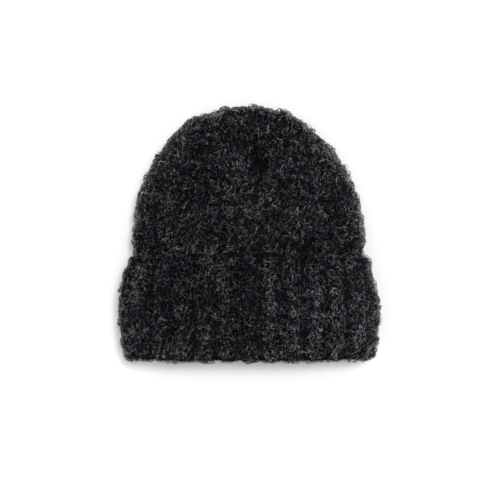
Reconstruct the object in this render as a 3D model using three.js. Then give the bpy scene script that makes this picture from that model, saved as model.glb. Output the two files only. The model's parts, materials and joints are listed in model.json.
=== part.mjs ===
// A fluffy knitted beanie with a ribbed cuff, lying on its back as it was laid down flat.
// Millimetres. +Z is up and z = 0 is the table, +Y points to the top of the crown,
// and the opening for the head faces -Y.
//
// Everything is measured from the hollow inside the hat. A point of the knit is a place on
// the hollow's skin, pushed outwards by a depth: 0 is the side that touches the head.
import * as THREE from 'three';

// Thickness of the knit
const CROWN_WALL = 6;
const BAND_WALL = 6.5;
const CUFF_SLIT = 1;
const CUFF_LAYER = 7.5;
const CUFF_DEPTH = BAND_WALL + CUFF_SLIT + CUFF_LAYER;

// Ribs of the cuff
const RIB_COUNT = 26;
const RIB_RELIEF = 2.6;
const INSIDE_RIB_RELIEF = 1.2;
const COLUMNS_PER_RIB = 4;

// Places along the hat, on its middle line
const RIM_Y = -113;
const CUFF_EDGE_Y = -15.5;
const JOIN_Y = -38;
const JOIN_GAP = 0.5;
const FOLD_REACH = 8;
const EDGE_REACH = 3.5;

// Dome of the crown: where it starts, how far it reaches, and how much squarer
// or rounder than an ellipse its outline is
const DOME_Y = -2;
const DOME_LENGTH = 109;
const DOME_SHOULDER = -0.03;
const CROWN_COLUMNS = 64;
const LAST_RING_ANGLE = 1.5;

// Sections of the hollow, from the mouth to the top of the crown.
// halfWidth reaches from the middle to the side fold. floor, fold and roof are the heights of
// the lowest line, of the side folds and of the highest line. The floor is a little lower than
// the knit below it is thick, so that the knit is pressed flat against the table.
// fullness is the power of the section's curve: 2 is an ellipse, and more is flatter with
// tighter sides. lean moves the section sideways, and arch moves its sides along the hat.
const SECTIONS = [
  { y: -130, halfWidth: 93.5, floor: 13.4, fold: 21, roof: 35, fullness: 2.9, lean: 0, arch: 4 },
  { y: -110, halfWidth: 95.5, floor: 13.4, fold: 21, roof: 36, fullness: 2.9, lean: 0, arch: 3.5 },
  { y: -70, halfWidth: 100.3, floor: 13.4, fold: 21, roof: 38, fullness: 3, lean: 0, arch: 0 },
  { y: -20, halfWidth: 93.5, floor: 13.4, fold: 20, roof: 37, fullness: 2.9, lean: 0, arch: -6 },
  { y: -2, halfWidth: 95, floor: 12.2, fold: 19, roof: 38.5, fullness: 2.8, lean: -0.5, arch: -4 },
  { y: 30, halfWidth: 95, floor: 4.9, fold: 16, roof: 38.5, fullness: 2.7, lean: -1.5, arch: 0 },
  { y: 70, halfWidth: 95, floor: 4.6, fold: 14, roof: 37.5, fullness: 2.6, lean: -2.5, arch: 0 },
  { y: 95, halfWidth: 95, floor: 4.6, fold: 13, roof: 36, fullness: 2.5, lean: -3.5, arch: 0 },
  { y: 107, halfWidth: 95, floor: 4.6, fold: 13, roof: 35, fullness: 2.5, lean: -1, arch: 0 },
];

// Gather folds that run down from the top of the crown. around is the angle in a section,
// 0 at the right side fold and 90 at the roof; depth is how far the knit dips in.
const GATHERS = [
  { around: 40, depth: 2.2 },
  { around: 84, depth: 2.8 },
  { around: 125, depth: 2.2 },
  { around: 232, depth: 2 },
  { around: 276, depth: 2.4 },
  { around: 318, depth: 2 },
];
const GATHER_WIDTH = 6.5;
const GATHER_START_Y = 0;
const GATHER_FULL_Y = 60;
const GATHER_END_Y = 105;

const CHARCOAL = 0x252427;

// Value of a column of SECTIONS at a place along the hat, on a smooth curve through the rows
function sectionValue(column, y) {
  const last = SECTIONS.length - 1;
  let i = 1;
  while (i < last && y > SECTIONS[i].y) i += 1;
  const rows = [Math.max(i - 2, 0), i - 1, i, Math.min(i + 1, last)].map((row) => SECTIONS[row]);
  const span = rows[2].y - rows[1].y;
  const t = THREE.MathUtils.clamp((y - rows[1].y) / span, 0, 1);
  const startSlope = ((rows[2][column] - rows[0][column]) / (rows[2].y - rows[0].y)) * span;
  const endSlope = ((rows[3][column] - rows[1][column]) / (rows[3].y - rows[1].y)) * span;
  return (
    (2 * t ** 3 - 3 * t ** 2 + 1) * rows[1][column] +
    (t ** 3 - 2 * t ** 2 + t) * startSlope +
    (3 * t ** 2 - 2 * t ** 3) * rows[2][column] +
    (t ** 3 - t ** 2) * endSlope
  );
}

// Along the dome the place is an angle, 0 where the dome starts and a right angle at the top.
// Below the dome the same number goes on in a straight line.
function alongFromY(y) {
  const reach = (y - DOME_Y) / DOME_LENGTH;
  return reach < 0 ? reach : Math.asin(Math.min(reach, 1));
}

function yFromAlong(along) {
  return DOME_Y + DOME_LENGTH * (along < 0 ? along : Math.sin(along));
}

// A point of the hollow's skin, around a section (0 at the right fold) and along the hat
function hollowPoint(around, along) {
  const y = yFromAlong(along);
  const dome = Math.max(along, 0);
  const fullness = sectionValue('fullness', y);
  const narrowing = Math.cos(dome) * (1 + DOME_SHOULDER * Math.sin(2 * dome) ** 2);
  const closing = Math.sqrt(Math.max(1 - Math.sin(dome) ** fullness, 0));
  const side = Math.cos(around);
  const rise = Math.sqrt(Math.max(1 - Math.abs(side) ** fullness, 0)) * closing;
  const fold = sectionValue('fold', y);
  const top = Math.sin(around) >= 0;
  const height = top ? sectionValue('roof', y) - fold : sectionValue('floor', y) - fold;
  return new THREE.Vector3(
    sectionValue('lean', y) + sectionValue('halfWidth', y) * narrowing * side,
    y + sectionValue('arch', y) * side ** 2,
    fold + height * rise,
  );
}

function gatherDepth(around, along) {
  const y = yFromAlong(along);
  const fade =
    THREE.MathUtils.smoothstep(y, GATHER_START_Y, GATHER_FULL_Y) *
    (1 - THREE.MathUtils.smoothstep(y, GATHER_FULL_Y, GATHER_END_Y));
  const radius = sectionValue('halfWidth', y) * Math.cos(Math.max(along, 0));
  let depth = 0;
  for (const gather of GATHERS) {
    const away = around - THREE.MathUtils.degToRad(gather.around);
    const distance = radius * Math.sin(away / 2) * 2;
    depth += gather.depth * Math.exp(-((distance / GATHER_WIDTH) ** 2));
  }
  return depth * fade;
}

// A point of the knit: the hollow's skin pushed outwards by a depth, and never below the table
function knitPoint(around, along, depth) {
  const step = 0.001;
  const acrossWay = hollowPoint(around + step, along).sub(hollowPoint(around - step, along));
  const alongWay = hollowPoint(around, along + step).sub(hollowPoint(around, along - step));
  const outward = alongWay.cross(acrossWay).normalize();
  const point = hollowPoint(around, along);
  point.addScaledVector(outward, depth - gatherDepth(around, along));
  point.z = Math.max(point.z, 0);
  return point;
}

// Angles around the hat that are evenly spaced on the outside of the cuff,
// starting at the middle of the roof
function evenAngles(count) {
  const fine = 1440;
  const along = alongFromY((RIM_Y + CUFF_EDGE_Y) / 2);
  const angles = [Math.PI / 2];
  const lengths = [0];
  let last = knitPoint(angles[0], along, CUFF_DEPTH);
  for (let i = 1; i <= fine; i += 1) {
    angles.push(Math.PI / 2 + (2 * Math.PI * i) / fine);
    const next = knitPoint(angles[i], along, CUFF_DEPTH);
    lengths.push(lengths[i - 1] + next.distanceTo(last));
    last = next;
  }
  const picked = [];
  let j = 0;
  for (let k = 0; k < count; k += 1) {
    const target = (lengths[fine] * k) / count;
    while (lengths[j + 1] < target) j += 1;
    const part = (target - lengths[j]) / (lengths[j + 1] - lengths[j]);
    picked.push(THREE.MathUtils.lerp(angles[j], angles[j + 1], part));
  }
  return picked;
}

// Faces between rings of points. The rings close on themselves, or end in a point at each end.
function loft(rings, ends) {
  const columns = rings[0].length;
  const points = rings.flat();
  const faces = [];
  const vertex = (ring, column) => (ring % rings.length) * columns + (column % columns);
  const bands = ends ? rings.length - 1 : rings.length;
  for (let ring = 0; ring < bands; ring += 1) {
    for (let column = 0; column < columns; column += 1) {
      const corners = [
        vertex(ring, column),
        vertex(ring, column + 1),
        vertex(ring + 1, column + 1),
        vertex(ring + 1, column),
      ];
      faces.push(corners[0], corners[2], corners[1], corners[0], corners[3], corners[2]);
    }
  }
  if (ends) {
    const first = points.push(ends[0]) - 1;
    const last = points.push(ends[1]) - 1;
    for (let column = 0; column < columns; column += 1) {
      faces.push(first, vertex(0, column), vertex(0, column + 1));
      faces.push(last, vertex(rings.length - 1, column + 1), vertex(rings.length - 1, column));
    }
  }
  const geometry = new THREE.BufferGeometry().setFromPoints(points);
  geometry.setIndex(faces);
  geometry.computeVertexNormals();
  return geometry;
}

function knitMaterial() {
  return new THREE.MeshStandardMaterial({ color: CHARCOAL, roughness: 0.95, metalness: 0 });
}

// Crown: one wall of fluffy knit, open where it joins the band and closed at the top
function crown() {
  const angles = evenAngles(CROWN_COLUMNS);
  const start = alongFromY(JOIN_Y);
  const skin = (depth, rows) => {
    const rings = [];
    for (let row = 0; row <= rows; row += 1) {
      const along = THREE.MathUtils.lerp(start, LAST_RING_ANGLE, row / rows);
      rings.push(angles.map((around) => knitPoint(around, along, depth)));
    }
    return rings;
  };
  const inside = skin(0, 13).reverse();
  const outside = skin(CROWN_WALL, 20);
  const top = hollowPoint(0, Math.PI / 2);
  const outsideTop = top.clone();
  outsideTop.y += CROWN_WALL;
  const mesh = new THREE.Mesh(loft([...inside, ...outside], [top, outsideTop]), knitMaterial());
  mesh.name = 'crown';
  return mesh;
}

// The cuff's section, as a closed line: y along the hat, depth outwards, the way the surface
// faces there, and how deep the channels between its ribs are
function cuffSection() {
  const line = [];
  const run = (fromY, toY, depth, faceDepth, relief, steps) => {
    for (let i = 0; i <= steps; i += 1) {
      const y = THREE.MathUtils.lerp(fromY, toY, i / steps);
      line.push({ y, depth, faceY: 0, faceDepth, relief });
    }
  };
  const turn = (y, depth, reach, radius, fromDegrees, toDegrees, relief, steps) => {
    for (let i = 1; i < steps; i += 1) {
      const angle = THREE.MathUtils.degToRad(THREE.MathUtils.lerp(fromDegrees, toDegrees, i / steps));
      const faceY = Math.cos(angle);
      const faceDepth = Math.sin(angle);
      line.push({ y: y + reach * faceY, depth: depth + radius * faceDepth, faceY, faceDepth, relief });
    }
  };
  const bandTop = JOIN_Y - JOIN_GAP;
  const foldY = RIM_Y + FOLD_REACH;
  const edgeY = CUFF_EDGE_Y - EDGE_REACH;
  const slitDepth = BAND_WALL + CUFF_SLIT;
  run(bandTop, foldY, 0, -1, INSIDE_RIB_RELIEF, 4);
  turn(foldY, CUFF_DEPTH / 2, FOLD_REACH, CUFF_DEPTH / 2, 270, 90, RIB_RELIEF / 2, 5);
  run(foldY, edgeY, CUFF_DEPTH, 1, RIB_RELIEF, 5);
  turn(edgeY, slitDepth + CUFF_LAYER / 2, EDGE_REACH, CUFF_LAYER / 2, 90, -90, RIB_RELIEF / 2, 3);
  run(edgeY, foldY, slitDepth, -1, 0, 3);
  run(foldY, bandTop, BAND_WALL, 1, 0, 3);
  return line;
}

// Cuff: the ribbed band below the crown, folded double and turned up over the crown's foot
function cuff() {
  const angles = evenAngles(RIB_COUNT * COLUMNS_PER_RIB);
  const rings = cuffSection().map((place) =>
    angles.map((around, column) => {
      const channel = 0.5 - 0.5 * Math.cos((2 * Math.PI * column) / COLUMNS_PER_RIB);
      const y = place.y - place.relief * channel * place.faceY;
      const depth = place.depth - place.relief * channel * place.faceDepth;
      return knitPoint(around, alongFromY(y), depth);
    }),
  );
  const mesh = new THREE.Mesh(loft(rings), knitMaterial());
  mesh.name = 'cuff';
  return mesh;
}

// The hat, moved along the table so that the origin is under the middle of its box
const hat = new THREE.Group();
hat.add(crown(), cuff());
const box = new THREE.Box3().setFromObject(hat);
const middle = box.getCenter(new THREE.Vector3());
hat.position.set(-middle.x, -middle.y, -box.min.z);

export default hat;
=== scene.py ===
# %% [markdown]
# # A fluffy knitted beanie, laid flat
#
# The hat is knitted in a thick boucle yarn: a yarn whose fine strand is thrown into
# thousands of little curls, so that the stitches vanish under a charcoal fleece. It has two
# parts, the rounded crown and a ribbed band that is folded double and turned up as a cuff.
#
# Fleece like this could be made with particle hair, with a displacement texture or with a
# bump map. Here it is modelled: a thick knitted wall carries thousands of small curls of
# real strand, because a boucle curl is a few millimetres wide and shows as a shape of its
# own, at the outline of the hat above all.

# %% The frame
import json

import bmesh
import bpy
import numpy as np
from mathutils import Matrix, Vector, noise

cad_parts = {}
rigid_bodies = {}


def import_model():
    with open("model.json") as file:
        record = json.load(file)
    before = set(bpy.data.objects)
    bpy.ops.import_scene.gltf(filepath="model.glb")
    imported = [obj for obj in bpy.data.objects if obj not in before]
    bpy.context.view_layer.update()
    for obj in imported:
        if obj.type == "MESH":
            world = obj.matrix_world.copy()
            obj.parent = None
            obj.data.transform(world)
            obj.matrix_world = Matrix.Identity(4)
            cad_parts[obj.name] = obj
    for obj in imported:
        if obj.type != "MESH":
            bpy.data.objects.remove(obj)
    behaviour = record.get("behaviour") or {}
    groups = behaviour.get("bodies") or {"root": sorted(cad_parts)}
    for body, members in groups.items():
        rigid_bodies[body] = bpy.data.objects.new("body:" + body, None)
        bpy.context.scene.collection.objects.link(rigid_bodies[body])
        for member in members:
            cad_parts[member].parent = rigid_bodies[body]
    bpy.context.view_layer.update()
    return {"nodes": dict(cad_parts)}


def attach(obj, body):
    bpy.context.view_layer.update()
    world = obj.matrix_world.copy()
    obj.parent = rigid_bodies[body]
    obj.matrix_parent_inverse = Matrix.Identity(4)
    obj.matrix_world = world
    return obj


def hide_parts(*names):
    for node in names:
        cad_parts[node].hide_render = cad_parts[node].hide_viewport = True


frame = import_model()
MM = 0.001
print("solids of the model:", sorted(frame["nodes"]))

# %% [markdown]
# ## The shape of the hat
#
# A hat that is laid on its back is a flattened tube. Its shape is easiest to say as the
# hollow inside it: a row of cross-sections from the mouth to the top, each one a lens with
# a floor, a roof and a fold at either side. Above the cuff they narrow and close in a dome.
#
# The same shape could be sculpted or draped by a cloth simulation. A table of sections is
# used because the outline is known, and because it gives every stitch two coordinates,
# around the hat and along it, which the ribs and the yarn follow. Sizes are in millimetres:
# X runs across the hat, Y from its mouth to its top, and Z up from the table.

# %% Sections of the hollow
DOME_Y = -2.0
DOME_LENGTH = 109.0
DOME_SHOULDER = -0.012

SECTION_COLUMNS = ("y", "half_width", "floor", "fold", "roof", "fullness", "lean", "arch")
SECTION_ROWS = (
    (-130, 94.5, 13.4, 21, 35.0, 2.9, 0.9, 1.5),
    (-110, 95.8, 13.4, 21, 36.0, 2.9, 0.9, 1.2),
    (-70, 99.9, 13.4, 21, 38.0, 3.0, 0.5, 0.0),
    (-20, 94.2, 13.4, 20, 37.0, 2.9, 0.3, -6.0),
    (-2, 96.0, 12.2, 19, 38.5, 2.8, 0.4, -4.0),
    (30, 94.3, 4.9, 16, 38.5, 2.7, -0.6, 0.0),
    (68, 96.4, 4.6, 14, 37.5, 2.6, -0.9, 0.0),
    (85, 96.4, 4.6, 13.3, 36.6, 2.55, -4.2, 0.0),
    (97, 98.0, 4.6, 13, 36.0, 2.5, -0.8, 0.8),
    (107, 98.0, 4.6, 13, 35.0, 2.5, 3.0, 0.0),
)
SECTIONS = dict(zip(SECTION_COLUMNS, np.array(SECTION_ROWS, float).T))
print(f"the hollow is up to {2 * SECTIONS['half_width'].max():.0f} mm wide")


# %% Points on the skin of the hollow
def section(column, y):
    """A column of SECTIONS at places y, on a smooth curve through the rows."""
    ys, values = SECTIONS["y"], SECTIONS[column]
    last = len(ys) - 1
    i = np.clip(np.searchsorted(ys, y), 1, last)
    before, after = np.maximum(i - 2, 0), np.minimum(i + 1, last)
    span = ys[i] - ys[i - 1]
    t = np.clip((y - ys[i - 1]) / span, 0, 1)
    start = (values[i] - values[before]) / (ys[i] - ys[before]) * span
    end = (values[after] - values[i - 1]) / (ys[after] - ys[i - 1]) * span
    bend = (t**3 - 2 * t**2 + t) * start + (t**3 - t**2) * end
    return (1 - 3 * t**2 + 2 * t**3) * values[i - 1] + (3 * t**2 - 2 * t**3) * values[i] + bend


def along_from_y(y):
    """A place as an angle of the dome, which goes on in a straight line below the dome."""
    reach = (np.asarray(y, float) - DOME_Y) / DOME_LENGTH
    return np.where(reach < 0, reach, np.arcsin(np.clip(reach, -1, 1)))


def y_from_along(along):
    return DOME_Y + DOME_LENGTH * np.where(along < 0, along, np.sin(along))


def hollow_point(around, along):
    """A point in millimetres, at an angle around the hat and a place along it."""
    y = y_from_along(along)
    dome = np.maximum(along, 0)
    fullness = section("fullness", y)
    narrowing = np.cos(dome) * (1 + DOME_SHOULDER * np.sin(2 * dome) ** 2)
    closing = np.sqrt(np.maximum(1 - np.sin(dome) ** fullness, 0))
    side = np.cos(around)
    rise = np.sqrt(np.maximum(1 - np.abs(side) ** fullness, 0)) * closing
    fold = section("fold", y)
    limit = np.where(np.sin(around) >= 0, section("roof", y), section("floor", y))
    x = section("lean", y) + section("half_width", y) * narrowing * side
    return np.stack([x, y + section("arch", y) * side**2, fold + (limit - fold) * rise], axis=-1)


print(f"the hollow ends at y = {y_from_along(np.pi / 2):.0f} mm")

# %% The way that the skin faces
SMALL_STEP = 0.001
NO_LENGTH = 1e-9


def outward(around, along):
    """The direction in which the hollow's skin faces away from the hollow."""
    step = SMALL_STEP
    across_way = hollow_point(around + step, along) - hollow_point(around - step, along)
    along_way = hollow_point(around, along + step) - hollow_point(around, along - step)
    way = np.cross(along_way, across_way)
    length = np.linalg.norm(way, axis=-1, keepdims=True)
    return np.where(length > NO_LENGTH, way / np.maximum(length, NO_LENGTH), [0, 1, 0])


# %% [markdown]
# ## The knit around the hollow
#
# Every surface of the knit is the hollow's skin pushed outwards by a depth, so the wall
# keeps its thickness round the tightest fold. A thickened sheet would do the same, but a
# depth can also differ from place to place. The crown is one layer and the cuff is two, with
# a thin slit between them, and they join on a line that the turned-up layer hides. At the
# top the knit is drawn together, and soft gather folds run down from there, each a shallow
# dip that fades out at both ends. Where the hat lies on the table it is pressed flat.

# %% Sizes of the knit, in millimetres
CROWN_WALL = 6.0
BAND_WALL = 6.5
CUFF_SLIT = 1.0
CUFF_LAYER = 7.5
CUFF_DEPTH = BAND_WALL + CUFF_SLIT + CUFF_LAYER
RIB_COUNT = 26
RIM_Y = -111.7
CUFF_EDGE_Y = -15.5
JOIN_Y = -38.0
PRESSED_HEIGHT = 0.8
print(f"the cuff is {CUFF_DEPTH:.0f} mm thick and {CUFF_EDGE_Y - RIM_Y:.0f} mm high")

# %% Gather folds
GATHER_COLUMNS = ("around", "depth")
GATHER_ROWS = ((40, 2.2), (84, 2.8), (125, 2.2), (232, 2.0), (276, 2.4), (318, 2.0))
GATHERS = dict(zip(GATHER_COLUMNS, np.array(GATHER_ROWS, float).T))
GATHER_WIDTH = 6.5
GATHER_START_Y = 0.0
GATHER_FULL_Y = 60.0
GATHER_END_Y = 105.0


def smoothstep(x, low, high):
    """0 up to low, 1 from high on, and a soft step between. With high below low it falls."""
    t = np.clip((x - low) / (high - low), 0, 1)
    return t * t * (3 - 2 * t)


def gather_depth(around, along):
    """How far the knit dips in along the gather folds that run down from the top."""
    y = y_from_along(along)
    fade = smoothstep(y, GATHER_START_Y, GATHER_FULL_Y)
    fade = fade * (1 - smoothstep(y, GATHER_FULL_Y, GATHER_END_Y))
    radius = section("half_width", y) * np.cos(np.maximum(along, 0))
    away = around[..., None] - np.radians(GATHERS["around"])
    distance = radius[..., None] * 2 * np.sin(away / 2)
    return (GATHERS["depth"] * np.exp(-((distance / GATHER_WIDTH) ** 2))).sum(axis=-1) * fade


print(len(GATHER_ROWS), "gather folds run down from the top")

# %% Points of the knit
FINE_ANGLES = 2881


def knit_point(around, along, depth):
    """The hollow's skin pushed outwards, in metres, and pressed flat just above the table."""
    depth = np.asarray(depth - gather_depth(around, along))[..., None]
    point = hollow_point(around, along) + outward(around, along) * depth
    point[..., 2] = np.maximum(point[..., 2], PRESSED_HEIGHT)
    return point * MM


def even_angles(count):
    """Angles that are evenly spaced on the outside of the cuff, and the length round it."""
    fine = np.linspace(0, 2 * np.pi, FINE_ANGLES) + np.pi / 2
    along = np.full(fine.shape, along_from_y((RIM_Y + CUFF_EDGE_Y) / 2))
    steps = np.linalg.norm(np.diff(knit_point(fine, along, CUFF_DEPTH), axis=0), axis=-1)
    lengths = np.concatenate([[0], np.cumsum(steps)])
    return np.interp(np.arange(count + 1) / count * lengths[-1], lengths, fine), lengths[-1]


girth = even_angles(RIB_COUNT)[1] / MM
print(f"the cuff measures {girth:.0f} mm round, {girth / RIB_COUNT:.1f} mm a rib")

# %% [markdown]
# ## Rolling up a flat panel
#
# A knitter works a flat or tubular panel of stitches. The same idea makes the mesh: one
# grid of faces, with its UV map, is moved vertex by vertex to its place and sewn up where
# its edges meet. Where a whole edge of the grid lands on one point, sewing closes it like
# the gathered top of the crown. The UV map stays that of the flat panel, so a material can
# follow the yarn. The same few lines serve for a wall 200 mm wide and for a strand of yarn.

# %% A panel of faces, rolled and sewn
SEWN_NEARER_THAN = 1e-7


def rolled_panel(columns, rows, place, marks=None):
    """A grid of faces moved to place(u, v) and sewn where it meets itself.

    marks(u, v) gives the values that each vertex keeps, by name.
    """
    panel = bmesh.new()
    panel.loops.layers.uv.new("OFBake")
    bmesh.ops.create_grid(panel, x_segments=columns, y_segments=rows, size=1, calc_uvs=True)
    flat = np.array([vert.co for vert in panel.verts])
    u, v = (flat[:, 0] + 1) / 2, (flat[:, 1] + 1) / 2
    for vert, point in zip(panel.verts, place(u, v)):
        vert.co = point
    for name, values in (marks(u, v) if marks else {}).items():
        layer = panel.verts.layers.float.new(name)
        for vert, value in zip(panel.verts, values):
            vert[layer] = value
    bmesh.ops.remove_doubles(panel, verts=panel.verts, dist=SEWN_NEARER_THAN)
    bmesh.ops.recalc_face_normals(panel, faces=panel.faces)
    return panel


def finished(name, panel):
    """The panel as an object with smooth faces."""
    mesh = bpy.data.meshes.new(name)
    panel.to_mesh(mesh)
    panel.free()
    mesh.shade_smooth()
    piece = bpy.data.objects.new(name, mesh)
    bpy.context.scene.collection.objects.link(piece)
    return piece


def triangles(piece):
    return sum(len(face.vertices) - 2 for face in piece.data.polygons)


# %% [markdown]
# ## Uneven stitches and room for the fleece
#
# Thick yarn never lies level. Soft lumps of two sizes, added up, stand for the uneven
# stitches below the fleece. They could be a Displace modifier, but here they are part of
# each wall's own depth, so they can fade out at an edge. The knit also stays a little below
# its full size, and more so at the sides, where the longest curls make up the outline. The
# fleece is made loosest at the top and a little to the right, the side the light comes from,
# and its curls are painted paler there: painted light.

# %% Lumps, sides and the nap
SEED_STEPS = (7.3, 3.1, 5.7)
FACES_SIDEWAYS = 0.2
FACES_UP = 0.95
# How the loose fleece and its painted light lean towards the top and right, towards the light
LIGHT_SIDE_LEAN = (0.25, 0.8)
LOFT_MIDDLE = 0.5
LOFT_MOST = 1.3
FLEECE = 0.3
SIDE_FLEECE = 0.8
SIDE_LEAST = 0.5


def lumps(points, size, seed):
    """Soft noise at points in metres, from about -1 to 1, with lumps of a size in millimetres."""
    shift = Vector([seed * step for step in SEED_STEPS])
    return np.array([noise.noise(Vector(point) / (size * MM) + shift) for point in points])


def uneven(points, rows):
    """Lumps added up, in millimetres, from rows of height, size and seed."""
    return sum(height * lumps(points, size, seed) for height, size, seed in rows)


def sideways(way_z):
    """1 where a surface faces level with the table, 0 where it faces up or down."""
    return 1 - smoothstep(np.abs(way_z), FACES_SIDEWAYS, FACES_UP)


def loft(way):
    """How loose the fleece stands, and its painted light: 0.25 left, 0.75 right, 1.3 at the top."""
    nap = way[..., :2] @ LIGHT_SIDE_LEAN
    return sideways(way[..., 2]) * np.clip(LOFT_MIDDLE + nap, 0, LOFT_MOST)


def side_room(way):
    """How much deeper the knit lies at the sides of the hat, in millimetres."""
    return SIDE_FLEECE * (SIDE_LEAST * sideways(way[..., 2]) + loft(way))


# %% [markdown]
# ## Light and dark in the fleece
#
# The fleece isn't even, and light and shade are also painted into its curls. Painted shade
# follows the shape: the curls are darker between the ribs, in the gather folds, at the cuff's
# loose edge and round its fold, and painted light makes them paler where they stand loose.
# The rest is patches. An image could hold them, but a short table of soft ovals is enough.
# Some paint shade: in the crease below the gathered top, along the line just above the cuff's
# edge, and over the left of the cuff. Some paint light: at the upper right and over the right
# of the cuff. The others make the fleece lighter or darker. Each row gives an oval's middle,
# its half sizes and how much lighter or darker it makes the curls.

# %% Lighter and darker patches
UPPER_SIDE = (5, 13)
PRESSED_BELOW = 2.0
PATCH_COLUMNS = ("x", "y", "across", "along", "change")
PATCH_ROWS = (
    # painted shade in the crease below the gathered top
    (5, 77, 3, 9, -0.14),
    (10, 61, 4, 11, -0.32),
    (-40, 38, 10, 26, -0.10),
    (-57, 30, 5, 14, -0.10),
    (75, 27, 5, 24, -0.10),
    (-10, 52, 8, 22, 0.05),
    # painted light at the upper right
    (80, 82, 14, 18, 0.12),
    (20, 80, 10, 14, -0.05),
    (-15, 84, 22, 14, -0.05),
    (-28, 46, 10, 12, -0.09),
    (0, -105, 130, 8, 0.09),
    (-17, 22, 6, 5, -0.12),
    (0, 20, 12, 9, 0.06),
    (64, 53, 10, 16, 0.08),
    (35, 25, 14, 10, 0.06),
    # painted shade along the line just above the cuff's edge
    (50, -10, 34, 5, -0.11),
    (-86, -10, 12, 6, -0.14),
    (0, -8, 34, 6, -0.08),
    (0, -68, 8, 42, -0.14),
    (14, -38, 9, 12, 0.06),
    (14, -70, 8, 9, 0.09),
    # painted light over the right of the cuff
    (60, -80, 60, 38, 0.12),
    (-76, -42, 10, 12, -0.08),
    (106, -58, 8, 34, 0.07),
    # painted shade over the left of the cuff
    (-62, -66, 40, 40, -0.05),
    (-42, -48, 14, 12, 0.06),
    (-98, -66, 8, 10, 0.05),
    (50, -62, 26, 12, -0.06),
    (10, -24, 22, 6, 0.05),
    (-75, 10, 22, 8, -0.05),
)
PATCHES = dict(zip(PATCH_COLUMNS, np.array(PATCH_ROWS, float).T))
print(len(PATCH_ROWS), "patches make the fleece lighter or darker")


def upper(points):
    """1 on the upper side of the hat, fading to 0 close to the table."""
    return smoothstep(points[:, 2] / MM, *UPPER_SIDE)


def lies_flat(points):
    """True where the knit lies on the table and its fleece is pressed down."""
    return points[:, 2] < PRESSED_BELOW * MM


def shade(points):
    """How much lighter or darker the fleece is at points in metres, on the upper side, with painted
    light and shade.
    """
    x, y = points[:, 0] / MM, points[:, 1] / MM
    across = (x[:, None] - PATCHES["x"]) / PATCHES["across"]
    along = (y[:, None] - PATCHES["y"]) / PATCHES["along"]
    patches = (PATCHES["change"] * np.exp(-(across**2) - along**2)).sum(axis=-1)
    return patches * upper(points)


# %% [markdown]
# ## The crown
#
# The crown is one wall of knit about 6 mm thick, gathered at the top. It could be a single
# skin with a Solidify modifier, but that pinches at a gathered point. So its panel goes from
# the gathered point down the inside of the wall, round the lower edge and up the outside to
# the gathered point again. The lower edge sits on the band's upper edge, under the cuff.

# %% The crown's wall
CROWN_COLUMNS = 208
CROWN_INSIDE_ROWS = 34
CROWN_OUTSIDE_ROWS = 84
CROWN_LUMPS = ((2.4, 13, 1), (1.2, 6, 2))
LUMPS_GROW_OVER = 20.0

foot = float(along_from_y(JOIN_Y))
crown_along = np.concatenate([
    np.linspace(np.pi / 2, foot, CROWN_INSIDE_ROWS + 1),
    np.linspace(foot, np.pi / 2, CROWN_OUTSIDE_ROWS),
])
crown_outside = np.repeat([0.0, 1.0], [CROWN_INSIDE_ROWS + 1, CROWN_OUTSIDE_ROWS])
crown_angles = even_angles(CROWN_COLUMNS)[0]


def crown_grid(u, v):
    """The angle, the place along the hat and the side of the wall, 1 outside, of grid points."""
    row = np.rint(v * (len(crown_along) - 1)).astype(int)
    column = np.rint(u * CROWN_COLUMNS).astype(int) % CROWN_COLUMNS
    return crown_angles[column], crown_along[row], crown_outside[row]


def crown_place(u, v):
    around, along, outside = crown_grid(u, v)
    y = y_from_along(along)
    fleece = FLEECE + side_room(outward(around, along))
    depth = (CROWN_WALL - fleece) * outside
    relief = uneven(knit_point(around, along, depth), CROWN_LUMPS)
    fade = outside * smoothstep(y, CUFF_EDGE_Y, CUFF_EDGE_Y + LUMPS_GROW_OVER)
    fade = fade * (1 - smoothstep(y, GATHER_END_Y, DOME_Y + DOME_LENGTH))
    return knit_point(around, along, depth + fade * relief)


print("the crown's panel has", CROWN_COLUMNS, "columns and", len(crown_along) - 1, "rows")

# %% [markdown]
# ### Marks for the fleece
#
# The curls are planted later, on the finished wall, and they need to know where they are.
# A painted mask would do, but here each vertex carries its marks as plain numbers. A mark
# with the name of a piece says how thickly its curls grow there, since the fleece is cut
# into pieces of a size that is easy to handle. The other marks say how dark the fleece is,
# how sunken, how far out at the side, how loose, and whether the knit is bare.

# %% The crown's marks
CROWN_BANDS = (
    ("crown_lower_curls", -19, 10),
    ("crown_middle_curls", 10, 54),
    ("crown_top_curls", 54, 200),
)
GATHER_SHADE = 0.04
# painted light: loose curls at the sides, most at the top and right, are made paler
PAINTED_LOFT_LIGHT = 0.125


def bands(rows, y, fleece):
    """One mark for each row of name, lowest y and highest y."""
    return {name: fleece * (y > low) * (y <= high) for name, low, high in rows}


def crown_marks(u, v):
    around, along, outside = crown_grid(u, v)
    y = y_from_along(along)
    points = knit_point(around, along, CROWN_WALL * outside)
    way = outward(around, along)
    # how loose the fleece stands, which also gives its painted light
    loose = loft(way) * upper(points)
    # painted shade in the gather folds
    gathers = gather_depth(around, along) * GATHER_SHADE
    flat = lies_flat(points)
    return {
        **bands(CROWN_BANDS, y, outside * ~flat),
        "crown_back_curls": outside * flat,
        # shade holds the patches, the painted shade of the gathers and the painted light of loose
        # curls
        "shade": shade(points) - gathers + PAINTED_LOFT_LIGHT * loose,
        "sunken": np.zeros_like(y),
        "side": sideways(way[:, 2]) * upper(points),
        "loft": loose,
        "bare": 1 - outside,
    }


crown_knit = finished(
    "crown_knit", rolled_panel(CROWN_COLUMNS, len(crown_along) - 1, crown_place, crown_marks))
print("crown_knit:", triangles(crown_knit), "triangles")

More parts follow.
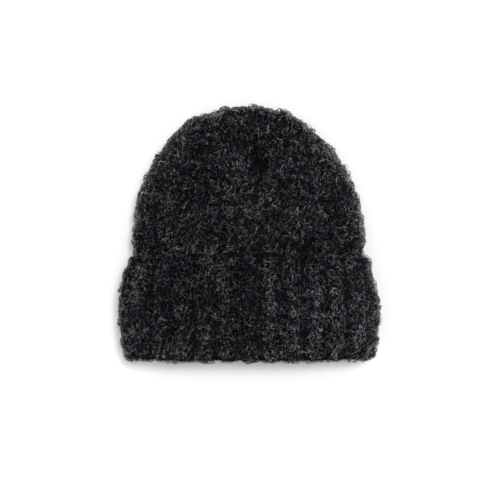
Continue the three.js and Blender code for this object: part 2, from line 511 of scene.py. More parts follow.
# %% [markdown]
# ## The cuff
#
# The band is knitted in a broad rib, raised columns with a sunken one between them, and
# folded double at the rim. Its section is a long U: the layer against the head, the fold,
# the turned-up layer and its loose edge, with a thin slit between the layers. Two bands
# could be modelled and joined, but one closed panel keeps the rib running over the fold
# without a seam. Each point of the section knows which way it faces, so the sunken columns
# can be pressed in from either side.

# %% The cuff's section
JOIN_GAP = 0.5
FOLD_REACH = 8.0
EDGE_REACH = 6.0
RIB_RELIEF = 3.8
FOLD_RIB_RELIEF = RIB_RELIEF / 4
EDGE_RIB_RELIEF = RIB_RELIEF / 2
INSIDE_RIB_RELIEF = 1.4
INSIDE_FLEECE = 0.6
INSIDE_STEPS = 24
FOLD_STEPS = 10
OUTSIDE_STEPS = 40
EDGE_STEPS = 6
SLIT_STEPS = 6


def cuff_section():
    """Rows of y, depth, the facing along y and along the depth, rib relief and fleece."""
    rows = []

    def run(from_y, to_y, depth, facing, relief, fleece, steps):
        """A straight layer, at one depth, that faces outwards or inwards."""
        for i in range(steps + 1):
            rows.append((from_y + (to_y - from_y) * i / steps, depth, 0, facing, relief, fleece))

    def turn(y, depth, reach, radius, start, end, relief, fleece, steps):
        """A rounded end between two layers, over angles in degrees, of which 90 faces outwards."""
        for i in range(1, steps):
            angle = np.radians(start + (end - start) * i / steps)
            way = np.cos(angle), np.sin(angle)
            rows.append((y + reach * way[0], depth + radius * way[1], *way, relief, fleece))

    band_top = JOIN_Y - JOIN_GAP
    fold_y = RIM_Y + FOLD_REACH
    edge_y = CUFF_EDGE_Y - EDGE_REACH
    slit = BAND_WALL + CUFF_SLIT
    fold, edge = CUFF_DEPTH / 2, CUFF_LAYER / 2
    run(band_top, fold_y, 0, -1, INSIDE_RIB_RELIEF, INSIDE_FLEECE, INSIDE_STEPS)
    turn(fold_y, fold, FOLD_REACH, fold, 270, 90, FOLD_RIB_RELIEF, 1, FOLD_STEPS)
    run(fold_y, edge_y, CUFF_DEPTH, 1, RIB_RELIEF, 1, OUTSIDE_STEPS)
    turn(edge_y, slit + edge, EDGE_REACH, edge, 90, -90, EDGE_RIB_RELIEF, 1, EDGE_STEPS)
    run(edge_y, fold_y, slit, -1, 0, 0, SLIT_STEPS)
    run(fold_y, band_top, BAND_WALL, 1, 0, 0, SLIT_STEPS)
    return np.array([*rows, rows[0]])


cuff_rows = cuff_section()
print("the cuff's section has", len(cuff_rows) - 1, "points")

# %% The cuff's ribs
COLUMNS_PER_RIB = 12
CUFF_COLUMNS = RIB_COUNT * COLUMNS_PER_RIB
CHANNEL_SHARPNESS = 1.6
SIDE_FOLD_FROM = 0.85
SIDE_FOLD_FLATTENING = 0.7
BULGE_SIZE = 9
BULGE_SEED = 5
SUNKEN_MIDDLE = 0.9
SUNKEN_CHANGE = 1.3
SUNKEN_LIMITS = (0.25, 1.3)

cuff_angles = even_angles(CUFF_COLUMNS)[0]


def cuff_grid(u, v):
    """The column of grid points, and the columns of cuff_rows for them."""
    row = cuff_rows[np.rint(v * (len(cuff_rows) - 1)).astype(int)]
    column = np.rint(u * CUFF_COLUMNS).astype(int)
    return column % CUFF_COLUMNS, row.T


def channel(column):
    """How deep a column lies between the ribs: 0 on a rib's crest, 1 in the sunken column."""
    phase = (column % COLUMNS_PER_RIB) / COLUMNS_PER_RIB
    return (0.5 - 0.5 * np.cos(2 * np.pi * phase)) ** CHANNEL_SHARPNESS


def fold_of_hat(around):
    """1 at the two folds of the flattened hat, 0 on its flat sides."""
    return smoothstep(np.abs(np.cos(around)), SIDE_FOLD_FROM, 1)


def sunken_columns(column, around, points):
    """How deep the knit is sunk between the ribs: knops of yarn bulge over it here and there."""
    bulges = lumps(points, BULGE_SIZE, BULGE_SEED)
    sinking = np.clip(SUNKEN_MIDDLE + SUNKEN_CHANGE * bulges, *SUNKEN_LIMITS)
    return channel(column) * sinking * (1 - SIDE_FOLD_FLATTENING * fold_of_hat(around))


print("the cuff's panel has", CUFF_COLUMNS, "columns, for", RIB_COUNT, "ribs")

# %% The cuff's wall
CUFF_LUMPS = ((2.4, 14, 6), (2.0, 8, 4))
SIDE_FOLD_LUMPS = 0.2
RIM_SMOOTHING = 0.8
TUCK = 3.5
TUCK_FROM_Y = -42.0


def cuff_way(around, y, face_y, face_depth):
    """The direction in which the cuff faces, with its loose edge taken as facing up."""
    way = outward(around, along_from_y(y)) * face_depth[:, None]
    way[:, 1] += face_y
    way[face_y > 0] = 0, 0, 1
    return way


def tucked(around, y, depth):
    """The depth with the turned-up layer drawn in near its edge, at the folds of the hat."""
    outer = np.clip((depth - BAND_WALL - CUFF_SLIT) / CUFF_LAYER, 0, 1)
    side = sideways(outward(around, along_from_y(y))[..., 2])
    return depth - TUCK * outer * side * smoothstep(y, TUCK_FROM_Y, CUFF_EDGE_Y)


def cuff_place(u, v):
    column, (y, depth, face_y, face_depth, relief, fleece) = cuff_grid(u, v)
    around = cuff_angles[column]
    depth = tucked(around, y, depth)
    points = knit_point(around, along_from_y(y), depth)
    push = uneven(points, CUFF_LUMPS) * (1 + SIDE_FOLD_LUMPS * fold_of_hat(around))
    push = push * (1 + RIM_SMOOTHING * np.minimum(face_y, 0))
    way = cuff_way(around, y, face_y, face_depth)
    push = (push - FLEECE - side_room(way)) * (fleece > 0)
    push = push - relief * sunken_columns(column, around, points)
    return knit_point(around, along_from_y(y + push * face_y), depth + push * face_depth)


# %% The cuff's marks
CUFF_BANDS = (("cuff_fold_curls", -200, -64), ("cuff_edge_curls", -64, 0))
MOUTH_FROM_Y = -98.0
CHANNEL_SHADE = 0.140
EDGE_SHADE = 0.10
LEFT_SIDE = (0.2, -0.3)
LEFT_CHANNEL_FADE = 0.4


def cuff_marks(u, v):
    column, (y, depth, face_y, face_depth, relief, fleece) = cuff_grid(u, v)
    around = cuff_angles[column]
    points = knit_point(around, along_from_y(y), depth)
    flat = lies_flat(points)
    inner = depth < CUFF_DEPTH / 2
    mouth = inner & (y > MOUTH_FROM_Y)
    way = cuff_way(around, y, face_y, face_depth)
    # how loose the fleece stands, which also gives its painted light
    loose = loft(way) * upper(points)
    sunken = sunken_columns(column, around, points)
    left = smoothstep(np.cos(around), *LEFT_SIDE)
    channel_shade = CHANNEL_SHADE * (1 - LEFT_CHANNEL_FADE * left)
    # painted shade: darker curls in the sunken columns, less so on the left, and at the cuff's
    # loose edge and round its fold
    darker = channel_shade * sunken + EDGE_SHADE * np.abs(face_y)
    return {
        **bands(CUFF_BANDS, y, fleece * ~flat * ~inner),
        "cuff_back_curls": fleece * flat * ~inner,
        "rim_curls": fleece * inner * ~mouth,
        "mouth_curls": fleece * mouth,
        # shade holds the patches, this painted shade and the painted light of loose curls
        "shade": shade(points) - darker + PAINTED_LOFT_LIGHT * loose,
        "sunken": sunken,
        "side": sideways(way[:, 2]) * upper(points),
        "loft": loose,
        "bare": (fleece == 0) | mouth,
    }


cuff_knit = finished(
    "cuff_knit", rolled_panel(CUFF_COLUMNS, len(cuff_rows) - 1, cuff_place, cuff_marks))
print("cuff_knit:", triangles(cuff_knit), "triangles")

# %% [markdown]
# ## Writing node trees as sums
#
# A material or a Geometry Nodes tree is a graph of small nodes. Written node by node it is
# long and hard to read, so a small class wraps a socket and lets Python's own operators add
# the Math nodes, while one method makes any other node from its type, settings and sockets.


# %% A socket that can be added and multiplied
class Value:
    """An output socket, on which Python's operators add Math nodes."""

    def __init__(self, tree, socket):
        self.tree = tree
        self.socket = socket

    def math(self, operation, *others):
        inputs = dict(enumerate((self, *others)))
        return self.tree.node("ShaderNodeMath", {"operation": operation}, inputs)[0]

    def __add__(self, other):
        return self.math("ADD", other)

    def __sub__(self, other):
        return self.math("SUBTRACT", other)

    def __rsub__(self, other):
        return self * -1 + other

    def __mul__(self, other):
        return self.math("MULTIPLY", other)

    def __pow__(self, other):
        return self.math("POWER", other)

    __radd__ = __add__
    __rmul__ = __mul__


class Outputs:
    """The outputs of a node, by name or number."""

    def __init__(self, tree, source):
        self.tree = tree
        self.source = source

    def __getitem__(self, name):
        return Value(self.tree, self.source.outputs[name])


class Tree:
    """A node tree under construction."""

    def __init__(self, tree):
        self.tree = tree

    def node(self, kind, settings=None, inputs=None):
        """Add a node, set its settings, then its sockets. Returns its outputs."""
        node = self.tree.nodes.new(kind)
        for name, value in (settings or {}).items():
            setattr(node, name, value)
        for name, value in (inputs or {}).items():
            if isinstance(value, Value):
                self.tree.links.new(value.socket, node.inputs[name])
            else:
                node.inputs[name].default_value = value
        return Outputs(self, node)

    def ramp(self, factor, stops):
        """A colour ramp from (position, colour) stops."""
        made = self.node("ShaderNodeValToRGB", None, {"Fac": factor})
        elements = made.source.color_ramp.elements
        elements[0].position, elements[1].position = stops[0][0], stops[-1][0]
        for position, _ in stops[1:-1]:
            elements.new(position)
        for element, (_, colour) in zip(elements, stops):
            element.color = (*colour, 1)
        return made["Color"]

    def mix_colour(self, factor, first, second):
        made = self.node("ShaderNodeMix", {"data_type": "RGBA"}, {0: factor, 6: first, 7: second})
        return made[2]


# %% [markdown]
# ## The yarn's finish
#
# Boucle wool is matt: light goes in between the fibres and comes out soft, without a shine.
# The yarn is a heather, spun from black and grey fleece, so every curl has a tone of its own
# and fine flecks of pale and dark fibre along its strand. The pale flecks also stand for
# glints of light on the fibres: painted highlights. Each curl is painted darker where it
# leaves the knit, where shade falls, and lighter at its bend, which catches the light: painted
# shade and light. At the sides, where the fleece is thin against the light, the grey is a
# touch warmer.
#
# A pattern in space would run across the curls as if they were one surface. So the colour
# reads each curl's own UV map, which says all of this: the curl's tone across it, and the
# way along its strand upwards, in the lower half for a cool curl and in the upper half for
# a warm one.
#
# Under the curls the wall of knit is painted nearly black: painted shade, standing for the
# dark at the roots of a deep fleece. The inside of the hat is bare knit and paler. The knit's
# fibres and loops are small enough for a bump, and their pattern follows the object's own
# coordinates.

# %% Colours
HEATHER_STOPS = (
    (0.00, (0.0003, 0.0003, 0.0005)),
    (0.30, (0.0035, 0.0037, 0.0048)),
    (0.50, (0.0192, 0.0175, 0.0217)),
    (0.70, (0.0562, 0.0494, 0.0603)),
    (0.85, (0.1740, 0.1580, 0.1810)),
    (1.00, (0.5700, 0.5350, 0.5750)),
)
WARM_STOPS = (
    (0.00, (0.0004, 0.0003, 0.0005)),
    (0.30, (0.0046, 0.0041, 0.0049)),
    (0.50, (0.0212, 0.0183, 0.0208)),
    (0.70, (0.0640, 0.0530, 0.0585)),
    (0.85, (0.1680, 0.1400, 0.1500)),
    (1.00, (0.5200, 0.4500, 0.4750)),
)
# painted shade: the knit under the curls, nearly black
ROOT_SHADE_STOPS = (
    (0.44, (0.0003, 0.0003, 0.0005)),
    (0.56, (0.0026, 0.0028, 0.0036)),
    (0.72, (0.0400, 0.0370, 0.0450)),
)
BARE_STOPS = (
    (0.35, (0.0060, 0.0056, 0.0068)),
    (0.55, (0.0280, 0.0260, 0.0310)),
    (0.75, (0.0900, 0.0840, 0.0960)),
)


# %% A matt surface
def new_material(name):
    """An empty material and its tree."""
    material = bpy.data.materials.new(name)
    material.use_nodes = True
    material.node_tree.nodes.clear()
    return material, Tree(material.node_tree)


def knitted_surface(tree, colour, roughness, normal=None):
    """The matt shader that the curls and the knit share."""
    inputs = {"Base Color": colour, "Roughness": roughness, "Specular IOR Level": 0.0}
    if normal is not None:
        inputs["Normal"] = normal
    shader = tree.node("ShaderNodeBsdfPrincipled", None, inputs)
    tree.node("ShaderNodeOutputMaterial", None, {"Surface": shader["BSDF"]})


# %% The curls' yarn
TONE_WIDTH = 0.94
CURL_ROUGHNESS = 0.85
BEND_LIGHT = 0.4
BEND_ROUNDNESS = 3
FLECKS_AND_GLINTS = 1.95
FLECKS_ACROSS = 120
FLECKS_ALONG = 11


def curl_yarn():
    material, tree = new_material("charcoal boucle curls")
    uv = tree.node("ShaderNodeUVMap", {"uv_map": "OFBake"})["UV"]
    parts = tree.node("ShaderNodeSeparateXYZ", None, {"Vector": uv})
    tone, halves = parts["X"], parts["Y"] * 2
    way, warm = halves.math("FRACT"), halves.math("FLOOR")
    bend = 1 - ((way * 2 - 1).math("ABSOLUTE") ** BEND_ROUNDNESS)
    strand = tree.node("ShaderNodeCombineXYZ", None, {
        "X": tone * FLECKS_ACROSS, "Y": way * FLECKS_ALONG})["Vector"]
    flecks = tree.node("ShaderNodeTexNoise", None, {
        "Vector": strand, "Scale": 1.0, "Detail": 0.0})["Fac"]
    # painted shade at the curl's root and painted light at its bend
    lightness = tone * (1 / TONE_WIDTH) * (bend * BEND_LIGHT + (1 - BEND_LIGHT))
    # flecks of pale and dark fibre, the pale ones partly painted highlights
    lightness = lightness + (flecks - 0.5) * FLECKS_AND_GLINTS
    colour = tree.mix_colour(
        warm, tree.ramp(lightness, HEATHER_STOPS), tree.ramp(lightness, WARM_STOPS))
    knitted_surface(tree, colour, CURL_ROUGHNESS)
    return material


# %% The knit below them
KNIT_ROUGHNESS = 0.9
FIBRES = {"Scale": 900.0, "Detail": 3.0, "Distortion": 1.5}
LOOPS_SCALE = 420.0
FIBRE_HEIGHT = 0.5
LOOP_HEIGHT = 1.5
LOOP_EDGE = 0.3
KNIT_BUMP = {"Strength": 0.9, "Distance": 0.0008}


def felted_knit():
    material, tree = new_material("charcoal knit painted dark under the fleece")
    place = tree.node("ShaderNodeTexCoord")["Object"]
    fibres = tree.node("ShaderNodeTexNoise", None, {"Vector": place, **FIBRES})["Fac"]
    loops = tree.node("ShaderNodeTexVoronoi", {"feature": "DISTANCE_TO_EDGE"}, {
        "Vector": place, "Scale": LOOPS_SCALE})["Distance"]
    bare = tree.node("ShaderNodeAttribute", {"attribute_name": "bare"})["Fac"]
    colour = tree.mix_colour(
        bare, tree.ramp(fibres, ROOT_SHADE_STOPS), tree.ramp(fibres, BARE_STOPS))
    height = fibres * FIBRE_HEIGHT + loops.math("MINIMUM", LOOP_EDGE) * LOOP_HEIGHT
    bump = tree.node("ShaderNodeBump", None, {**KNIT_BUMP, "Height": height})
    knitted_surface(tree, colour, KNIT_ROUGHNESS, bump["Normal"])
    return material


yarn = curl_yarn()
root_knit = felted_knit()
for base in (crown_knit, cuff_knit):
    base.data.materials.append(root_knit)
print("finishes:", yarn.name, "and", root_knit.name)

# %% [markdown]
# ## One curl of boucle
#
# A curl leaves the knit, bends round and goes back in, or ends in a tapered tip. It could be
# a curve with a bevel. Here it is the rolled panel again, three faces round and a few along,
# because it has to stay small: it is repeated about 28,000 times. A handful of different
# curls is enough, since each copy is turned, tilted and scaled at random. They are listed
# from wide loops of fine strand to small ones of bold strand.

# %% A few different curls
STRAND_SIDES = 3
STRAND_STEP = 0.01
WOBBLES = 3
TIP_SHARPNESS = 2.2
TIP_ROUNDNESS = 0.6
TIP_NEARER_THAN = 1e-6
CURL_COLUMNS = ("radius", "turns", "squash", "rise", "wobble", "strand", "rows")
CURL_ROWS = (
    (1.60, 0.80, 0.80, 1.2, 0.22, 0.155, 6),
    (1.20, 1.30, 1.00, 1.7, 0.15, 0.155, 8),
    (1.40, 0.92, 0.85, 0.9, 0.18, 0.160, 7),
    (1.40, 0.68, 1.00, 0.9, 0.25, 0.165, 5),
    (0.90, 1.05, 1.00, 0.8, 0.10, 0.175, 6),
    (1.25, 0.88, 1.00, 0.5, 0.10, 0.270, 6),
    (1.05, 0.95, 1.15, 0.7, 0.12, 0.310, 6),
)


def curl_place(curl):
    """place(u, v) of one curl that leaves the origin and stands over +Y, in metres."""
    def middle(v):
        """The middle line of the strand, in millimetres, from one tip to the other."""
        angle = 2 * np.pi * curl["turns"] * (v - 0.5)
        x = curl["radius"] * np.sin(angle)
        y = curl["radius"] * curl["squash"] * (1 + np.cos(angle))
        z = curl["rise"] * (v - 0.5) + curl["wobble"] * np.sin(WOBBLES * angle + 1)
        return np.stack([x, y, z], axis=-1)

    def place(u, v):
        """A point on the strand's skin, which tapers to nothing at both tips."""
        heading = middle(v + STRAND_STEP) - middle(v - STRAND_STEP)
        heading = heading / np.linalg.norm(heading, axis=-1, keepdims=True)
        side = np.cross(heading, [0.0, 0.0, 1.0])
        side = side / np.linalg.norm(side, axis=-1, keepdims=True)
        up = np.cross(side, heading)
        taper = np.clip(np.sin(np.pi * v) * TIP_SHARPNESS, 0, 1) ** TIP_ROUNDNESS
        tip = (v < TIP_NEARER_THAN) | (v > 1 - TIP_NEARER_THAN)
        thick = np.where(tip, 0, curl["strand"] * taper)[:, None]
        angle = (2 * np.pi * u)[:, None]
        return (middle(v) + thick * (np.cos(angle) * side + np.sin(angle) * up)) * MM

    return place


# %% The curls, on a shelf to copy from
UV_MARGIN = 0.01
CURL_UV_SIZE = (0.03, 0.48)


def make_curls(material):
    """A collection of the curls, outside the scene, each in a narrow strip of its UV map."""
    shelf = bpy.data.collections.new("curls to copy")
    for number, row in enumerate(CURL_ROWS):
        curl = dict(zip(CURL_COLUMNS, row))
        panel = rolled_panel(STRAND_SIDES, curl["rows"], curl_place(curl))
        piece = finished(f"curl_{number}", panel)
        bpy.context.scene.collection.objects.unlink(piece)
        shelf.objects.link(piece)
        for corner in piece.data.uv_layers["OFBake"].data:
            corner.uv = [UV_MARGIN + at * size for at, size in zip(corner.uv, CURL_UV_SIZE)]
        piece.data.materials.append(material)
    return shelf


curl_shelf = make_curls(yarn)

# %% [markdown]
# ## Covering the knit with curls
#
# About 28,000 copies are set out by Geometry Nodes. Points are spread over the wall where
# its mark is set, never nearer to each other than a spacing, so that no bald patch and no
# clump appears. Each curl leans away from the wall and lies mostly along the hat, as knitted
# yarn does. Particle hair would also do this, but it would leave no mesh behind.
#
# Boucle gathers in round knops, so the curls in the middle of each cell of a Voronoi
# texture grow bigger. On the upper side they are also painted paler in a knop's middle and
# darker between knops: painted light where a knop catches it and painted shade in the gaps.
# At the sides the bold, short curls take over and make a dense, tufted outline. About one
# curl in eighty is a bigger, paler loop that stands loose. Then the copies are made real, and
# each curl's tone is added to its UV map.

# %% Reading marks and drawing random numbers
METRE = 1000
CLOUD = {"Detail": 2.0, "Roughness": 0.6}
KNOP_RANDOMNESS = 0.9


class Planter(Tree):
    """A Geometry Nodes tree that covers a marked mesh with curls."""

    DRAWS = {"tilt": 1, "heading": 2, "scale": 3, "tone": 4, "choice": 5, "loose": 6}

    def __init__(self, tree, seed):
        super().__init__(tree)
        self.seed = seed

    def position(self):
        return self.node("GeometryNodeInputPosition")["Position"]

    def mark(self, name, data_type="FLOAT"):
        settings = {"data_type": data_type}
        return self.node("GeometryNodeInputNamedAttribute", settings, {"Name": name})[0]

    def random(self, draw, low, high):
        """A random number for each curl. Every draw has a seed of its own."""
        inputs = {2: low, 3: high, "Seed": self.seed + self.DRAWS[draw]}
        return self.node("FunctionNodeRandomValue", {"data_type": "FLOAT"}, inputs)[1]

    def clouds(self, size):
        """Soft noise round 0, in patches of a size in millimetres."""
        inputs = {"Vector": self.position(), "Scale": METRE / size, **CLOUD}
        return self.node("ShaderNodeTexNoise", None, inputs)["Fac"] - 0.5

    def knops(self, size):
        """How far inside a round knop of yarn a place is: about 0.5 in its middle, -0.2 between."""
        inputs = {
            "Vector": self.position(), "Scale": METRE / size, "Randomness": KNOP_RANDOMNESS}
        return 0.5 - self.node("ShaderNodeTexVoronoi", None, inputs)["Distance"]

    def store(self, geometry, name, data_type, domain, value):
        settings = {"data_type": data_type, "domain": domain}
        inputs = {"Geometry": geometry, "Name": name, "Value": value}
        return self.node("GeometryNodeStoreNamedAttribute", settings, inputs)["Geometry"]


# %% Where the curls stand, and how they lean
DENSEST = 4e6
SUNKEN_THINNING = 0.2
ALIGNED = 0.6


def scattered(tree, mark, kind):
    """Points on the knit where its mark is set, fewer in the sunken columns.

    Four points are tried for each square of the spacing, and those that come too near go.
    """
    thinned = tree.mark(mark) * (1 - tree.mark("sunken") * SUNKEN_THINNING)
    return tree.node("GeometryNodeDistributePointsOnFaces", {"distribute_method": "POISSON"}, {
        "Mesh": tree.node("NodeGroupInput")["Geometry"], "Seed": tree.seed,
        "Distance Min": kind["spacing"] * MM, "Density Max": DENSEST / kind["spacing"] ** 2,
        "Density Factor": thinned})


def leaning(tree, points, kind):
    """How each curl is turned: mostly along the hat, and tilted away from the knit."""
    heading = tree.random("heading", 0, 2 * np.pi)
    heading = heading - (heading * 2).math("SINE") * (ALIGNED / 2)
    tilt = tree.random("tilt", np.radians(kind["tilt_low"]), np.radians(kind["tilt_high"]))
    turn = tree.node("ShaderNodeCombineXYZ", None, {"X": tilt, "Z": heading})["Vector"]
    turn = tree.node("FunctionNodeEulerToRotation", None, {"Euler": turn})["Rotation"]
    along = tree.node("FunctionNodeAlignRotationToVector", {"axis": "X", "pivot_axis": "Z"}, {
        "Rotation": points["Rotation"], "Vector": (0, 1, 0)})["Rotation"]
    return tree.node("FunctionNodeRotateRotation", {"rotation_space": "LOCAL"}, {
        "Rotation": along, "Rotate By": turn})["Rotation"]


# %% Which curl grows, and how big
LOOSE_SHARE = 0.012
LOOSE_GROWTH = 0.6
LOOSE_FINENESS = 0.6
KNOP_GROWTH = 0.5
SIDE_KNOP_GROWTH = 0.8
SUNKEN_SHRINKING = 0.3
LOFT_GROWTH = 0.35
FINENESS = 1.4
SIDE_BOLDNESS = 0.9
JUST_UNDER = 0.01


def loose_curls(tree):
    """1 for the few loops that stand loose, none of them at the sides. 0 for the others."""
    share = (1 - tree.mark("side")) * LOOSE_SHARE
    return tree.random("loose", 0, 1).math("LESS_THAN", share)


def choice(tree, loose):
    """The number of a curl on the shelf: mostly a fine one, but a bold one at the sides."""
    power = FINENESS - tree.mark("side") * SIDE_BOLDNESS
    picked = tree.random("choice", 0, 1) ** power * (len(CURL_ROWS) - JUST_UNDER)
    return (picked * (1 - loose * LOOSE_FINENESS)).math("FLOOR")


def size(tree, kind, knops, loose):
    """How big each curl is against the one on the shelf."""
    scale = tree.random("scale", kind["scale_low"], kind["scale_high"]) + loose * LOOSE_GROWTH
    scale = scale + knops * (tree.mark("side") * SIDE_KNOP_GROWTH + KNOP_GROWTH)
    shrunk = 1 - tree.mark("sunken") * SUNKEN_SHRINKING
    return scale * (shrunk + tree.mark("loft") * LOFT_GROWTH)


# %% How light each curl is
TONE_POWER = 1.8
SIDE_LIGHT_SPREAD = 0.6
LOOSE_TONE = 0.12
KNOP_LIGHT_AND_SHADE = 0.27
SIDE_KNOP_TONE = 1.6
CLOUDS = ((20, 0.4), (9, 0.22))


def tone(tree, kind, knops, loose):
    """The tone of each curl, 0 to 1: its own luck, its place, soft clouds and its knop, with
    painted light and shade.
    """
    # painted light: curls at the sides spread paler, where the fleece is thin against the light
    spread = (tree.mark("side") * SIDE_LIGHT_SPREAD + 1) * kind["spread"]
    made = tree.random("tone", 0.0, 1.0) ** TONE_POWER * spread + kind["tone"]
    made = made + tree.mark("shade") + loose * LOOSE_TONE
    for across, strength in CLOUDS:
        made = made + tree.clouds(across) * strength
    # painted light in the middle of each knop and painted shade between knops
    made = made + knops * (1 - tree.mark("side") * SIDE_KNOP_TONE) * KNOP_LIGHT_AND_SHADE
    return made.math("MAXIMUM", 0).math("MINIMUM", 1)


# %% The whole planter
LOWEST = 0.3
ANYWHERE = -10
WARM_FROM = 0.4
WARM_HALF = 0.5


def made_real(tree, curls):
    """The copies as a mesh, none of it below the table, with each curl's tone in its UV map."""
    real = tree.node("GeometryNodeRealizeInstances", None, {"Geometry": curls})["Geometry"]
    above = tree.node("ShaderNodeVectorMath", {"operation": "MAXIMUM"}, {
        0: tree.position(), 1: (ANYWHERE, ANYWHERE, LOWEST * MM)})[0]
    real = tree.node("GeometryNodeSetPosition", None, {"Geometry": real, "Position": above})
    warm = tree.mark("side").math("GREATER_THAN", WARM_FROM)
    shift = tree.node("ShaderNodeCombineXYZ", None, {
        "X": tree.mark("tone") * TONE_WIDTH, "Y": warm * WARM_HALF})["Vector"]
    uv = tree.node("ShaderNodeVectorMath", {"operation": "ADD"}, {
        0: tree.mark("OFBake", "FLOAT_VECTOR"), 1: shift})[0]
    return tree.store(real["Geometry"], "OFBake", "FLOAT2", "CORNER", uv)


def curl_planter(mark, kind, seed):
    """A node group that covers a mesh with curls where its mark is set."""
    group = bpy.data.node_groups.new(mark, "GeometryNodeTree")
    for in_out in ("INPUT", "OUTPUT"):
        group.interface.new_socket("Geometry", in_out=in_out, socket_type="NodeSocketGeometry")
    tree = Planter(group, seed)
    points = scattered(tree, mark, kind)
    knops = tree.knops(kind["knop"])
    loose = loose_curls(tree)
    shelf = tree.node("GeometryNodeCollectionInfo", None, {
        "Collection": curl_shelf, "Separate Children": True, "Reset Children": True})
    curls = tree.node("GeometryNodeInstanceOnPoints", None, {
        "Points": points["Points"], "Instance": shelf["Instances"], "Pick Instance": True,
        "Instance Index": choice(tree, loose), "Rotation": leaning(tree, points, kind),
        "Scale": size(tree, kind, knops, loose)})["Instances"]
    curls = tree.store(curls, "tone", "FLOAT", "INSTANCE", tone(tree, kind, knops, loose))
    tree.node("NodeGroupOutput", None, {"Geometry": made_real(tree, curls)})
    return group


def plant(name, base, kind, seed):
    """A new piece: curls on the faces of base, where the mark of the piece's name is set."""
    bed = bpy.data.objects.new(name + "_bed", base.data)
    bpy.context.scene.collection.objects.link(bed)
    planter = bed.modifiers.new("plant", "NODES")
    planter.node_group = curl_planter(name, kind, seed)
    ready = bed.evaluated_get(bpy.context.evaluated_depsgraph_get())
    mesh = bpy.data.meshes.new_from_object(ready)
    bpy.data.objects.remove(bed)
    mesh.name = name
    piece = bpy.data.objects.new(name, mesh)
    bpy.context.scene.collection.objects.link(piece)
    print(f"{name}: {triangles(piece)} triangles")
    return piece


# %% [markdown]
# ### The fleece of each part
#
# The crown's curls are the closest and the most varied in tone. The cuff's are a little
# wider apart and paler. On the underside the fleece is pressed, so its curls lie low and
# far apart, and inside the mouth only a few stand on the bare knit. Each kind is a row of a
# table, so that one can be changed without touching the others.

# %% Kinds of fleece, and where each grows
FIRST_SEED = 11
KIND_COLUMNS = (
    "spacing", "tilt_low", "tilt_high", "scale_low", "scale_high", "tone", "spread", "knop")
KIND_ROWS = {
    "crown": (1.36, 20, 75, 0.75, 1.25, 0.288, 0.44, 5.0),
    "cuff": (1.42, 20, 75, 0.72, 1.20, 0.380, 0.31, 6.0),
    "pressed": (3.00, 5, 35, 0.80, 1.20, 0.300, 0.40, 5.0),
    "rim": (1.70, 20, 75, 0.75, 1.25, 0.355, 0.36, 6.0),
    "mouth": (3.20, 20, 70, 0.80, 1.20, 0.340, 0.40, 5.0),
}
KINDS = {name: dict(zip(KIND_COLUMNS, row)) for name, row in KIND_ROWS.items()}

PLANTED = (
    ("crown_lower_curls", "crown", "crown"),
    ("crown_middle_curls", "crown", "crown"),
    ("crown_top_curls", "crown", "crown"),
    ("crown_back_curls", "crown", "pressed"),
    ("cuff_fold_curls", "cuff", "cuff"),
    ("cuff_edge_curls", "cuff", "cuff"),
    ("cuff_back_curls", "cuff", "pressed"),
    ("rim_curls", "cuff", "rim"),
    ("mouth_curls", "cuff", "mouth"),
)

knits = {"crown": crown_knit, "cuff": cuff_knit}
pieces = {part: [knit] for part, knit in knits.items()}
for number, (name, part, kind) in enumerate(PLANTED):
    pieces[part].append(plant(name, knits[part], KINDS[kind], FIRST_SEED + number))
for curl in list(curl_shelf.objects):
    bpy.data.objects.remove(curl)
print("triangles in all:", sum(triangles(piece) for part in pieces for piece in pieces[part]))

# %% [markdown]
# ## Which piece stands for which part
#
# The model has one solid for the crown and one for the cuff, and each is replaced by its
# knitted wall and the curls that grow on it. A hat has no joint, because it moves only as
# its cloth gives way. So everything rides on the one body.

# %% Riding and replacing
for part, part_pieces in pieces.items():
    for piece in part_pieces:
        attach(piece, "root")
        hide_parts(part)
        part + "_knit"
    print(part, "is shown by", len(part_pieces), "pieces")

# %% [markdown]
# ## Table, light and camera
#
# The hat lies on a white table and is seen from straight above through a long lens, which
# keeps its outline almost free of perspective. A nearer camera would show more of its sides.
# A wide, soft light from the upper right and an even white surround give the gentle shadow
# round the outline.

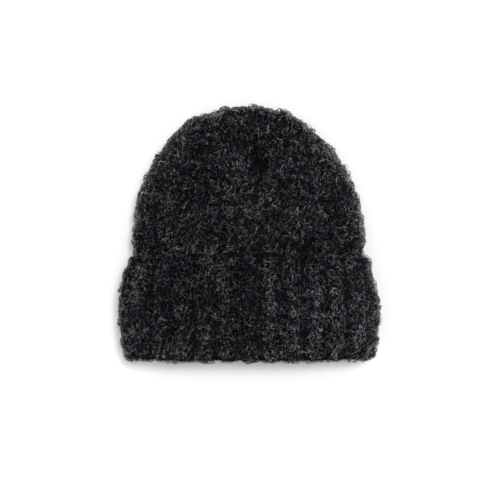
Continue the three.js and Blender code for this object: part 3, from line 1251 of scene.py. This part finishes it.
# %% The table
TABLE_SIZE = 6
TABLE_WHITE = (0.69, 0.69, 0.69, 1)

bpy.ops.mesh.primitive_plane_add(size=TABLE_SIZE)
table = bpy.context.active_object
table.name = "table"
white, white_tree = new_material("white table")
white_shader = white_tree.node("ShaderNodeBsdfPrincipled", None, {
    "Base Color": TABLE_WHITE, "Roughness": 0.9, "Specular IOR Level": 0.1})
white_tree.node("ShaderNodeOutputMaterial", None, {"Surface": white_shader["BSDF"]})
table.data.materials.append(white)

# %% Soft studio light
SURROUND_STRENGTH = 1.05
KEY_STRENGTH = 2.2
KEY_WIDTH_DEGREES = 16
KEY_DIRECTION = (0.21, 0.22, 1.0)

world = bpy.data.worlds.new("white surround")
world.use_nodes = True
surround = world.node_tree.nodes["Background"].inputs
surround["Color"].default_value = (1, 1, 1, 1)
surround["Strength"].default_value = SURROUND_STRENGTH
bpy.context.scene.world = world

key = bpy.data.lights.new("soft key", "SUN")
key.energy = KEY_STRENGTH
key.angle = np.radians(KEY_WIDTH_DEGREES)
key_object = bpy.data.objects.new("soft key", key)
key_object.rotation_euler = Vector(KEY_DIRECTION).to_track_quat("Z", "Y").to_euler()
bpy.context.scene.collection.objects.link(key_object)
bpy.context.scene.view_settings.view_transform = "Standard"

# %% The camera
PHOTO_SIZE = 500
MM_PER_PIXEL = 0.88
PHOTO_MIDDLE = (248.5, 233.75)
LENS = 100.0
SENSOR = 36.0
HEIGHT_IN_FOCUS = 0.028

camera = bpy.data.cameras.new("overhead camera")
camera.lens = LENS
camera.sensor_width = SENSOR
camera_object = bpy.data.objects.new("overhead camera", camera)
distance = PHOTO_SIZE * MM_PER_PIXEL * MM * LENS / SENSOR
camera_object.location = (
    (PHOTO_SIZE / 2 - PHOTO_MIDDLE[0]) * MM_PER_PIXEL * MM,
    (PHOTO_MIDDLE[1] - PHOTO_SIZE / 2) * MM_PER_PIXEL * MM,
    HEIGHT_IN_FOCUS + distance,
)
bpy.context.scene.collection.objects.link(camera_object)
bpy.context.scene.camera = camera_object
print(f"the camera hangs {distance:.2f} m above the hat")
